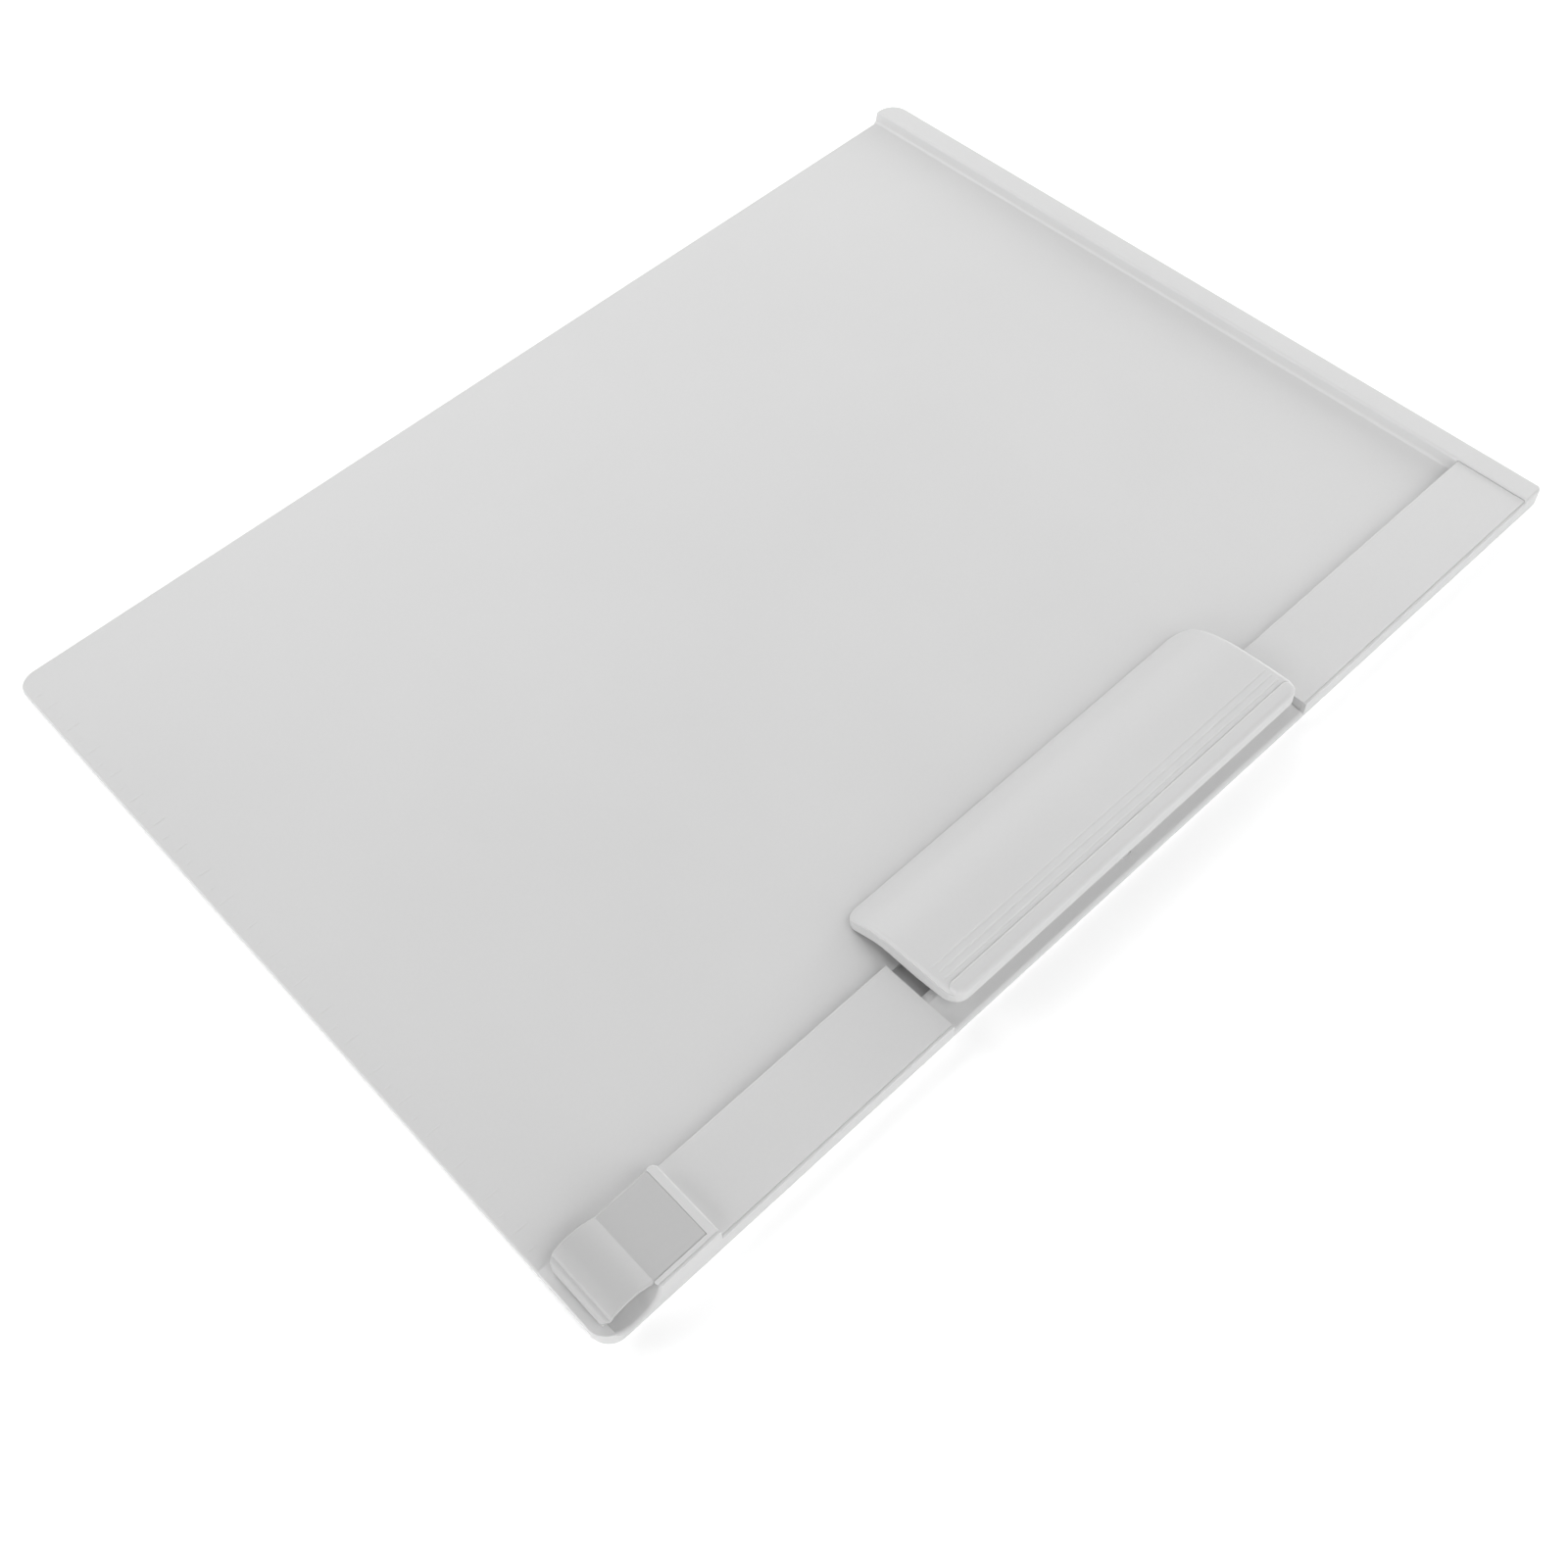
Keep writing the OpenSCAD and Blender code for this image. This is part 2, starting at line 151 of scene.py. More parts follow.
def apply_modifiers(obj):
    """Replaces an object's mesh by the one that its modifiers give."""
    graph = bpy.context.evaluated_depsgraph_get()
    mesh = bpy.data.meshes.new_from_object(obj.evaluated_get(graph))
    old = obj.data
    obj.modifiers.clear()
    obj.data = mesh
    bpy.data.meshes.remove(old)
    return obj


def boolean(obj, tools, operation="DIFFERENCE"):
    """Cuts or joins each tool in turn, and removes the tools."""
    for tool in tools:
        modifier = obj.modifiers.new("cut", "BOOLEAN")
        modifier.operation = operation
        modifier.solver = "EXACT"
        modifier.object = tool
        apply_modifiers(obj)
        bpy.data.objects.remove(tool)
    return obj


def joined(name, parts):
    """One object from several that don't touch."""
    bm = bmesh.new()
    for part in parts:
        bm.from_mesh(part.data)
        bpy.data.objects.remove(part)
    mesh = bpy.data.meshes.new(name)
    bm.to_mesh(mesh)
    bm.free()
    return linked(bpy.data.objects.new(name, mesh))


def tube(name, path, radius, sides=12):
    """A round wire along a path that never runs along X."""
    rings = []
    for i, p in enumerate(path):
        a, b = Vector(path[max(i - 1, 0)]), Vector(path[min(i + 1, len(path) - 1)])
        along = (b - a).normalized()
        u = along.cross(Vector((1, 0, 0))).normalized()
        v = along.cross(u)
        ring = arc(0, 0, radius, 0, 360, sides)[:-1]
        rings.append([tuple(Vector(p) + u * c + v * s) for c, s in ring])
    return loft(name, rings)


def spline(points, steps):
    """A smooth curve through the points, with steps stretches between each pair."""
    ends = [[2 * a - b for a, b in zip(points[0], points[1])],
            [2 * a - b for a, b in zip(points[-1], points[-2])]]
    p = [Vector(v) for v in [ends[0], *points, ends[1]]]
    out = []
    for i in range(1, len(p) - 2):
        for k in range(steps):
            t = k / steps
            a = p[i] * 2
            b = (p[i + 1] - p[i - 1]) * t
            c = (p[i - 1] * 2 - p[i] * 5 + p[i + 1] * 4 - p[i + 2]) * t * t
            d = (p[i] * 3 - p[i - 1] - p[i + 1] * 3 + p[i + 2]) * t * t * t
            out.append(tuple((a + b + c + d) / 2))
    return out + [tuple(points[-1])]


def merge_flats(obj):
    """Makes each flat side one face again, so that its edges can be rounded in one piece."""
    bm = bmesh.new()
    bm.from_mesh(obj.data)
    bmesh.ops.remove_doubles(bm, verts=bm.verts, dist=0.001 * MM)
    bmesh.ops.dissolve_limit(bm, angle_limit=math.radians(0.5), verts=bm.verts, edges=bm.edges)
    bmesh.ops.recalc_face_normals(bm, faces=bm.faces)
    bm.to_mesh(obj.data)
    bm.free()


def soften(obj, chosen, width, segments=3):
    """Rounds the edges whose two ends, in millimetres, both pass the test."""
    bm = bmesh.new()
    bm.from_mesh(obj.data)
    edges = []
    for e in bm.edges:
        if len(e.link_faces) == 2 and e.calc_face_angle() > math.radians(FOLD):
            if all(chosen(*(v.co / MM)) for v in e.verts):
                edges.append(e)
    bmesh.ops.bevel(bm, geom=edges, offset=width * MM, segments=segments, profile=0.5,
                    affect="EDGES", clamp_overlap=True)
    bm.to_mesh(obj.data)
    bm.free()
    return obj


def every_edge(x, y, z):
    """Test for soften() that lets all edges pass."""
    return True


def cad_copy(name, node):
    """A copy of a CAD node's mesh, with its flat sides merged."""
    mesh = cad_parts[node].data.copy()
    mesh.materials.clear()
    obj = linked(bpy.data.objects.new(name, mesh))
    merge_flats(obj)
    return obj


def smooth(obj, angle=35):
    """Smooth shading with crisp folds, and normals that keep the flat faces flat."""
    obj.data.polygons.foreach_set("use_smooth", [True] * len(obj.data.polygons))
    obj.data.set_sharp_from_angle(angle=math.radians(angle))
    modifier = obj.modifiers.new("normals", "WEIGHTED_NORMAL")
    modifier.keep_sharp = True
    return apply_modifiers(obj)


def place_piece(obj, material, slot, body, *nodes):
    """Gives a finished piece its material, its body and the nodes it stands for; slot is not used."""
    obj.data.materials.clear()
    obj.data.materials.append(material)
    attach(obj, body)
    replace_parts(obj, *nodes)


# ---------------------------------------------------------------- materials


def plastic(name, colour, roughness, grain=0.25, grain_mm=0.28):
    """Moulded plastic: fine spark-eroded grain, faint flow marks and a slightly uneven gloss."""
    material = bpy.data.materials.new(name)
    material.use_nodes = True
    tree = material.node_tree
    shader = tree.nodes["Principled BSDF"]
    coords = tree.nodes.new("ShaderNodeTexCoord")

    def noise(size_mm, detail):
        node = tree.nodes.new("ShaderNodeTexNoise")
        node.inputs["Scale"].default_value = 1 / (size_mm * MM)
        node.inputs["Detail"].default_value = detail
        tree.links.new(coords.outputs["Object"], node.inputs["Vector"])
        return node

    def ramp(source, low, high):
        node = tree.nodes.new("ShaderNodeMapRange")
        node.inputs["From Min"].default_value = 0.3
        node.inputs["From Max"].default_value = 0.7
        node.inputs["To Min"].default_value = low
        node.inputs["To Max"].default_value = high
        tree.links.new(source.outputs["Fac"], node.inputs["Value"])
        return node

    flow = noise(60, 3)
    speck = noise(0.8, 4)
    fine = noise(grain_mm, 2)
    tone = ramp(flow, 0.988, 1.012)
    fleck = ramp(speck, 0.994, 1.006)
    both = tree.nodes.new("ShaderNodeMath")
    both.operation = "MULTIPLY"
    tree.links.new(tone.outputs[0], both.inputs[0])
    tree.links.new(fleck.outputs[0], both.inputs[1])
    mix = tree.nodes.new("ShaderNodeVectorMath")
    mix.operation = "SCALE"
    mix.inputs[0].default_value = colour
    tree.links.new(both.outputs[0], mix.inputs["Scale"])
    tree.links.new(mix.outputs[0], shader.inputs["Base Color"])
    gloss = ramp(flow, roughness - 0.02, roughness + 0.03)
    tree.links.new(gloss.outputs[0], shader.inputs["Roughness"])
    bump = tree.nodes.new("ShaderNodeBump")
    bump.inputs["Strength"].default_value = grain
    bump.inputs["Distance"].default_value = 0.02 * MM
    tree.links.new(fine.outputs["Fac"], bump.inputs["Height"])
    tree.links.new(bump.outputs[0], shader.inputs["Normal"])
    shader.inputs["Specular IOR Level"].default_value = 0.45
    return material


def metal(name, colour, roughness, grain_mm=0.4):
    """Drawn or turned steel: fine streaks along the surface and a little tarnish."""
    material = bpy.data.materials.new(name)
    material.use_nodes = True
    tree = material.node_tree
    shader = tree.nodes["Principled BSDF"]
    shader.inputs["Metallic"].default_value = 1
    coords = tree.nodes.new("ShaderNodeTexCoord")
    streak = tree.nodes.new("ShaderNodeMapping")
    streak.inputs["Scale"].default_value = (0.15, 1, 1)
    tree.links.new(coords.outputs["Object"], streak.inputs["Vector"])
    noise = tree.nodes.new("ShaderNodeTexNoise")
    noise.inputs["Scale"].default_value = 1 / (grain_mm * MM)
    noise.inputs["Detail"].default_value = 5
    tree.links.new(streak.outputs[0], noise.inputs["Vector"])
    tint = tree.nodes.new("ShaderNodeMix")
    tint.data_type = "RGBA"
    tint.inputs[6].default_value = (*[c * 0.9 for c in colour], 1)
    tint.inputs[7].default_value = (*colour, 1)
    tree.links.new(noise.outputs["Fac"], tint.inputs[0])
    tree.links.new(tint.outputs[2], shader.inputs["Base Color"])
    rough = tree.nodes.new("ShaderNodeMapRange")
    rough.inputs["To Min"].default_value = roughness - 0.06
    rough.inputs["To Max"].default_value = roughness + 0.08
    tree.links.new(noise.outputs["Fac"], rough.inputs["Value"])
    tree.links.new(rough.outputs[0], shader.inputs["Roughness"])
    bump = tree.nodes.new("ShaderNodeBump")
    bump.inputs["Strength"].default_value = 0.2
    bump.inputs["Distance"].default_value = 0.01 * MM
    tree.links.new(noise.outputs["Fac"], bump.inputs["Height"])
    tree.links.new(bump.outputs[0], shader.inputs["Normal"])
    return material


BOARD_GREY = (0.59, 0.59, 0.59)
CLIP_GREY = (0.575, 0.575, 0.575)
MARK_GREY = (0.61, 0.61, 0.61)
# The leaf's grey below is the board plastic made darker, as painted shade on the leaf.
LEAF_SHADED_GREY = (0.47, 0.47, 0.47)
board_plastic = plastic("board_plastic", BOARD_GREY, 0.5)
clip_plastic = plastic("clip_plastic", CLIP_GREY, 0.45)
mark_plastic = plastic("mark_plastic", MARK_GREY, 0.5)
leaf_plastic_painted_shade = plastic("leaf_plastic_painted_shade", LEAF_SHADED_GREY, 0.5)
rubber = plastic("grip_rubber", (0.10, 0.10, 0.105), 0.75, grain=0.6, grain_mm=0.5)
steel = metal("plated_steel", (0.60, 0.60, 0.61), 0.32)
spring_steel = metal("spring_steel", (0.50, 0.50, 0.51), 0.28)

# ---------------------------------------------------------------- board

EDGE_R = 0.7            # rounding of the panel's edges
CORNER_R = 5            # plan radius of the left corners
BACK_RIGHT_R = 6
FRONT_RIGHT_R = 1.5
CORNER_STEPS = 14
JOIN_Z = 1              # height inside the panel from which the rail and the walls rise
RIM_Z = STRIP_Z - 0.2   # top of the header's outer wall
RIM_EDGE_R = 0.2        # its rounding
WALL = 1.2              # thickness of the outer wall
RIM = WALL / 2 + 0.08   # the part of it that shows beside the covers
COVER_T = 1.2           # thickness of the covers
SHELF_Z = STRIP_Z - COVER_T
END_WALL = 3.6          # left end wall, beside the trough
RAIL_X = HALF_L - 6.3   # inner edge of the rail's flat top
RAIL_Z = 5.9
TRAY_X1 = RAIL_X - 0.3  # right end of the space under the covers
SCOOP_Z = 1.9           # height of the front edge under the scoop
SCOOP_R = 1.15          # its rounding
TROUGH_R = 6.2
TROUGH_X = -HALF_L + 8.9
TROUGH_Z = TROUGH_R + SCOOP_Z
TROUGH_CUT = TROUGH_R + 0.03    # cut a little wider, for one clean surface through wall and block
MOUTH_R = 1.0           # rounding of the trough's front edge
HIGH_WALL_X0 = -HALF_L + 12     # the high wall and its step begin over the trough
HIGH_SHELF_X0 = -HALF_L + 10
RIB_X = BLOCK_X1 - 0.4  # right side of the pen block's rib
HANG_R = 3.3            # the hole that the board hangs by
HANG_Y = BY0 + 6.3
SCREW_SPAN = 5          # vertices closer together than this belong to one screw


def plan_ring(inset, z):
    """The board's outline drawn in by inset, at height z."""
    points = []
    corners = ((1, -1, FRONT_RIGHT_R, -90), (1, 1, BACK_RIGHT_R, 0),
               (-1, 1, CORNER_R, 90), (-1, -1, CORNER_R, 180))
    for sx, sy, r, a0 in corners:
        centre = sx * (HALF_L - r), sy * (HALF_W - r)
        points += arc(*centre, max(r - inset, 0.1), a0, a0 + 90, CORNER_STEPS)
    return [(x, y, z) for x, y in points]


def plan_body(name, z0, z1, bottom_r, top_r, inset=0, steps=5):
    """The board's plan as a solid from z0 to z1 with rounded lower and upper edges."""
    profile = [(0, z0)]
    if bottom_r:
        profile = [(bottom_r - x, z0 + bottom_r - y) for x, y in arc(0, 0, bottom_r, 90, 0, steps)]
    if top_r:
        profile += [(top_r - x, z1 - top_r + y) for x, y in arc(0, 0, top_r, 0, 90, steps)]
    else:
        profile.append((0, z1))
    return loft(name, [plan_ring(inset + d, z) for d, z in profile])


def rail_outline():
    """The rail in X and Z: a steep inner wall with a rounded top and a hollow fillet at its foot."""
    foot_r, top_r = 0.8, 0.9
    foot_x = RAIL_X - 1
    lean = 0.35
    points = [(foot_x - foot_r, BOARD_T - 0.3)]
    points += arc(foot_x - foot_r, BOARD_T + foot_r, foot_r, -90, -6, 6)
    points += arc(foot_x + lean + top_r, RAIL_Z - top_r, top_r, 174, 90, 7)
    return points + [(HALF_L + PAST, RAIL_Z), (HALF_L + PAST, BOARD_T - 0.3)]


def trough_cut():
    """The pen's trough, flared at the front by a rounding of radius MOUTH_R."""
    mouth = arc(TROUGH_CUT + MOUTH_R, BY0 + MOUTH_R, MOUTH_R, 270, 180, 8)
    profile = [(TROUGH_CUT + MOUTH_R, BY0 - 1), *mouth, (TROUGH_CUT, STRIP_Y + 1)]
    return turned("cut", (TROUGH_X, TROUGH_Z), profile, "y", 120)


def hanging_cut():
    """The hanging hole, right through the header."""
    return turned("cut", (CLIP_X, HANG_Y), [(HANG_R, -FAR), (HANG_R, STRIP_Z + 1)], steps=64)


def screw_places(node):
    """Middle of each screw in a node of several, from its vertices."""
    groups = []
    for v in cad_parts[node].data.vertices:
        x, y = v.co.x / MM, v.co.y / MM
        near = [g for g in groups if math.dist(g[0], (x, y)) < SCREW_SPAN]
        if near:
            near[0].append((x, y))
        else:
            groups.append([(x, y)])
    middles = []
    for g in groups:
        xs, ys = [p[0] for p in g], [p[1] for p in g]
        middles.append(((min(xs) + max(xs)) / 2, (min(ys) + max(ys)) / 2))
    return middles


# Countersink and through hole for a screw: radius and height
SINK = [(2.05, -0.5), (2.05, 0), (1.1, 0.85), (1.1, TRAY_Z + 1)]
SCREW_NODES = ("cradle_screws", "left_cover_screws", "right_cover_screws", "pen_holder_screws")


def header_walls():
    """The header's outer wall, and its higher part beside the pen block."""
    tub = plan_body("tub", JOIN_Z, RIM_Z, 0, RIM_EDGE_R)
    header = block("cut", -HALF_L - PAST, HALF_L + PAST, BY0 - PAST, STRIP_Y + GAP, 0, FAR)
    boolean(tub, [header], "INTERSECT")
    wall = plan_body("wall", JOIN_Z, WALL_TOP, 0, RIM_EDGE_R)
    front = block("cut", HIGH_WALL_X0, RIB_X, BY0 - PAST, BY0 + WALL, 0, FAR)
    boolean(wall, [front], "INTERSECT")
    return [tub, wall]


def header_cuts():
    """The space under the covers, the steps they lie on, the scoop, the trough and the hole."""
    inner = plan_body("cut", TRAY_Z, FAR, 0, 0, inset=WALL)
    tray = block("cut", -HALF_L + END_WALL, TRAY_X1, BY0 - PAST, STRIP_Y + GAP, 0, FAR)
    boolean(inner, [tray], "INTERSECT")
    corner = block("cut", -HALF_L + END_WALL, TROUGH_X, BY0 + WALL, BY0 + WALL + 1, TRAY_Z, FAR)
    shelf = plan_body("cut", SHELF_Z, FAR - 1, 0, 0, inset=RIM)
    covers = block("cut", RIB_X - GAP, TRAY_X1, BY0 - PAST, STRIP_Y, 0, FAR + 1)
    boolean(shelf, [covers], "INTERSECT")
    high_shelf = block("cut", HIGH_SHELF_X0, BLOCK_X1, BY0 + RIM, STRIP_Y, BLOCK_Z - COVER_T, FAR)
    lip = [(STRIP_Y, FAR + 2), (STRIP_Y, SCOOP_Z)]
    lip += arc(BY0 + SCOOP_R, SCOOP_Z - SCOOP_R, SCOOP_R, 90, 180, 10)
    lip += [(BY0 - FAR, SCOOP_Z - SCOOP_R), (BY0 - FAR, FAR + 2)]
    recess = prism("cut", lip, "x", RX0 - GAP, RX1 + GAP)
    return [inner, corner, shelf, high_shelf, recess, trough_cut(), hanging_cut()]


def build_board():
    """The panel with its rail and header walls, and everything that is cut into it."""
    board = plan_body("board_shell", 0, BOARD_T, EDGE_R, EDGE_R)
    rail = plan_body("rail", JOIN_Z, RAIL_Z, 0, EDGE_R)
    rail_shape = prism("cut", rail_outline(), "y", -HALF_W - PAST, HALF_W + PAST)
    boolean(rail, [rail_shape], "INTERSECT")
    boolean(board, [rail, *header_walls()], "UNION")
    boolean(board, header_cuts())
    places = [p for node in SCREW_NODES for p in screw_places(node)]
    boolean(board, [joined("cut", [turned("hole", p, SINK) for p in places])])
    merge_flats(board)
    return board


board = smooth(build_board())
place_piece(board, board_plastic, "board_plastic", "board", "board_panel")

# ---------------------------------------------------------------- header: covers, cradle, block

RIB_W = 1.6             # width of the pen block's rib
RIB_CORNER_R = 1.5      # plan radius of its back corner
RIB_EDGE_R = 0.6        # rounding along its top

for node in ("header_cover_left", "header_cover_right"):
    cover = cad_copy(node + "_shell", node)
    soften(cover, lambda x, y, z: z > STRIP_Z - TOL and y > STRIP_Y - TOL, 0.32, 4)
    soften(cover, lambda x, y, z: z > STRIP_Z - TOL, 0.18)
    place_piece(smooth(cover), board_plastic, "board_plastic", "board", node)

cradle = cad_copy("cradle_shell", "clip_cradle")
place_piece(smooth(cradle), board_plastic, "board_plastic", "board", "clip_cradle")


def rib_corner_cut():
    """Takes the back corner of the rib off to a rounding in plan."""
    x, y = RIB_X - RIB_CORNER_R, STRIP_Y - RIB_CORNER_R
    outline = arc(x, y, RIB_CORNER_R, 0, 90, 12)
    outline += [(x, STRIP_Y + 1), (RIB_X + 1, STRIP_Y + 1), (RIB_X + 1, y)]
    return prism("cut", outline, "z", STRIP_Z, FAR)


def on_rib(x, y, z):
    """Test for soften(): the edges along the top of the rib and of the block's back."""
    return z > BLOCK_Z - TOL and (x > RIB_X - RIB_W - TOL or y > STRIP_Y - TOL)


def off_rib(x, y, z):
    """Test for soften(): the top edges left of the rib's right side."""
    return z > BLOCK_Z - TOL and x < RIB_X - RIB_EDGE_R + 5 * TOL


holder = cad_copy("pen_holder_shell", "pen_holder_block")
boolean(holder, [trough_cut(), rib_corner_cut()])
merge_flats(holder)
soften(holder, on_rib, RIB_EDGE_R, 5)
soften(holder, off_rib, 0.15, 2)
place_piece(smooth(holder), board_plastic, "board_plastic", "board", "pen_holder_block")

# ---------------------------------------------------------------- clip lever

LEVER_HALF = (LX1 - LX0) / 2
JAW_R, LIP_R = 4.5, 4.0      # plan radii of the lever's corners
TOP_R = 1.3                  # rounding of the top into the front and the end faces
LEDGE = 0.16                 # width of the ledge between each end face and its rounding
LEDGE_CUT = 0.12             # how far into the rounding's width that ledge lies
RIDGE_HALF = 56.2            # the ridges reach this far from the clip's middle
RIDGE_FADE = 0.25            # and run out over this length
RIDGE_H, RIDGE_BACK, RIDGE_FRONT = 0.13, 0.4, 0.2    # height, and width of each slope
RIDGE_YS = [LIP_Y + 5.5 + 1.95 * i for i in range(3)]
BAR_HALF, BAR_R = 57.3, 1.8  # half length and plan radius of the raised bar along the lip
BAR_Y = LIP_Y + 4.1          # its back edge
BAR_H, BAR_RISE = 0.5, 0.8   # its height, and the width of its rounded edge
CREVICE, CREVICE_W = 0.12, 0.3   # depth and half width of the fine groove around its foot
SKIRT_T = 1.8                # thickness of the end walls
LUG_T, LUG_R, LUG_TOP = 3, 2.2, 11.4
LUG_INNER, LUG_OUTER = 19.2, 48.8    # inner sides of the lugs, from the clip's middle
STIFFENER_T = 1.2            # ribs inside the lever, behind the lip
STIFFENER_XS = (-46, -30, -12, 12, 30, 46)

# Top of the lever from the jaw to the lip, in Y and Z
LEVER_TOP = [(JAW_Y, 3), (JAW_Y - 0.2, 3.3), (JAW_Y - 1.9, 5.6), (JAW_Y - 4.3, 7.8),
             (JAW_Y - 7.8, 9.9), (JAW_Y - 12, 11.3), (JAW_Y - 17, 12.2), (JAW_Y - 24, 12.7),
             (LIP_Y + 6, 12.88), (LIP_Y, 12.9)]
# Its lower rim from the lip back to the jaw
LEVER_RIM = [(LIP_Y + 1.5, 9), (LIP_Y + 8, 8), (LIP_Y + 13, 7.4), (LIP_Y + 20.5, 7.3),
             (LIP_Y + 24, 6.9), (LIP_Y + 27, 5.8), (LIP_Y + 31, 3.9), (LIP_Y + 33, 2.6)]
# The hollow under its top wall
LEVER_HOLLOW = [(LIP_Y + 1.6, 0), (LIP_Y + 1.6, 10.9), (JAW_Y - 24, 10.7), (JAW_Y - 17, 10.2),
                (JAW_Y - 12, 9.3), (JAW_Y - 8, 8), (JAW_Y - 5.4, 6.2), (JAW_Y - 4.4, 4.2),
                (JAW_Y - 4.4, 0)]
LEVER_CURVE = spline(LEVER_TOP, 8)
RIM_CURVE = spline(LEVER_RIM, 3)


def height_on(curve, y):
    """Height of a polyline of (y, z) points at y, level beyond its ends."""
    curve = sorted(curve)
    if y <= curve[0][0]:
        return curve[0][1]
    for a, b in zip(curve, curve[1:]):
        if y <= b[0]:
            return a[1] + (b[1] - a[1]) * (y - a[0]) / (b[0] - a[0])
    return curve[-1][1]


def quarter(r, s):
    """How far a rounding of radius r has drawn the surface in, at distance s from the edge."""
    return r - math.sqrt(max(r * r - max(r - s, 0) ** 2, 0))


def lever_height(x, y):
    """Height of the lever's top: its curve, the ridges, the bar and the rounded edges."""
    z = height_on(LEVER_CURVE, y)
    reach = abs(x - CLIP_X)
    fade = min(max((RIDGE_HALF - reach) / RIDGE_FADE, 0), 1)
    for ridge in RIDGE_YS:
        t = (y - ridge) / RIDGE_BACK if y > ridge else (ridge - y) / RIDGE_FRONT
        z += RIDGE_H * fade * max(1 - t, 0)
    u, v = reach - (BAR_HALF - BAR_R), y - (BAR_Y - BAR_R)
    inside = BAR_R - math.hypot(u, v) if u > 0 and v > 0 else min(BAR_R - u, BAR_R - v)
    if inside > 0:
        z += BAR_H * math.sqrt(1 - (1 - min(inside / BAR_RISE, 1)) ** 2)
    z -= CREVICE * max(1 - abs(inside) / CREVICE_W, 0)
    return z - edge_drop(reach, y)


def edge_drop(reach, y):
    """How far the rounded front and end edges lower the top."""
    jaw_u, jaw_v = reach - (LEVER_HALF - JAW_R), y - (JAW_Y - JAW_R)
    lip_u, lip_v = reach - (LEVER_HALF - LIP_R), LIP_Y + LIP_R - y
    weight = 1 if reach - LEVER_HALF > LIP_Y - y else 0
    d = min(LEVER_HALF - reach, y - LIP_Y)
    if jaw_u > 0 and jaw_v > 0:
        far = math.hypot(jaw_u, jaw_v)
        d, weight = JAW_R - far, (jaw_u / far) ** 2
    elif lip_u > 0 and lip_v > 0:
        far = math.hypot(lip_u, lip_v)
        d, weight = LIP_R - far, (lip_u / far) ** 2
    drop = quarter(TOP_R, max(d - LEDGE * weight, 0) + LEDGE_CUT * weight)
    if jaw_u > 0 and jaw_v > 0:
        return drop * weight
    return drop


# Where the skin of the lever has points: across each ridge, down from the bar's back edge,
# and in from the lip and from each end
RIDGE_STEPS = (-0.3, -RIDGE_FRONT, -0.13, -0.06, 0, 0.06, 0.2, RIDGE_BACK, 0.5)
BAR_STEPS = (-0.3, -0.15, 0, 0.02, 0.07, 0.15, 0.25, 0.37, 0.5, 0.65, 0.82)
LIP_STEPS = (0, 0.05, 0.12, 0.165, 0.2, 0.28, 0.4, 0.6, 0.85, 1.1, 1.45)
END_STEPS = (0, 0.08, 0.15, 0.165, 0.2, 0.28, 0.4, 0.55, 0.68, 0.8, 0.9, 0.93, 1, 1.1, 1.24, 1.36,
             1.45, 1.6, 1.8, 2, 2.12, 2.25, 2.4, 2.7, 3, 3.4, 3.8, 4.2, 4.6, 5.2)


def lever_ring(x):
    """The lever's outline in the plane at x."""
    reach = abs(x - CLIP_X)
    s = LEVER_HALF - reach
    jaw, lip = JAW_Y - quarter(JAW_R, s), LIP_Y + quarter(LIP_R, s)
    ys = [jaw - 0.1 * t for t in range(8)]
    middle = [y for y, z in LEVER_CURVE if BAR_Y + 7 < y < JAW_Y - 0.8]
    middle += [ridge + t for ridge in RIDGE_YS for t in RIDGE_STEPS]
    middle += [BAR_Y - t for t in BAR_STEPS]
    ys += [min(max(y, lip + LIP_STEPS[-1]), jaw - 0.7) for y in sorted(middle, reverse=True)]
    ys += [lip + t for t in reversed(LIP_STEPS)]
    top = [(y, lever_height(x, y)) for y in ys]
    face = [(lip, z) for z in (11.1, 10.2, 9.3)] + [(lip + 0.1, 9.1), (lip + 0.3, 9)]
    rim = []
    for y, _ in RIM_CURVE:
        y = min(max(y, lip + 0.4), jaw - 0.3)
        rim.append((y, height_on(RIM_CURVE, y)))
    return [(x, y, z) for y, z in [(jaw, rim[-1][1] + 0.3), *top, *face, *rim]]


def lug(x):
    """A lug about the pin, reaching up into the lever's top wall."""
    outline = arc(PIN_Y, PIN_Z, LUG_R, 180, 360, 16)
    outline += [(PIN_Y + LUG_R, LUG_TOP), (PIN_Y - LUG_R, LUG_TOP)]
    return prism("lug", outline, "x", x - LUG_T / 2, x + LUG_T / 2)


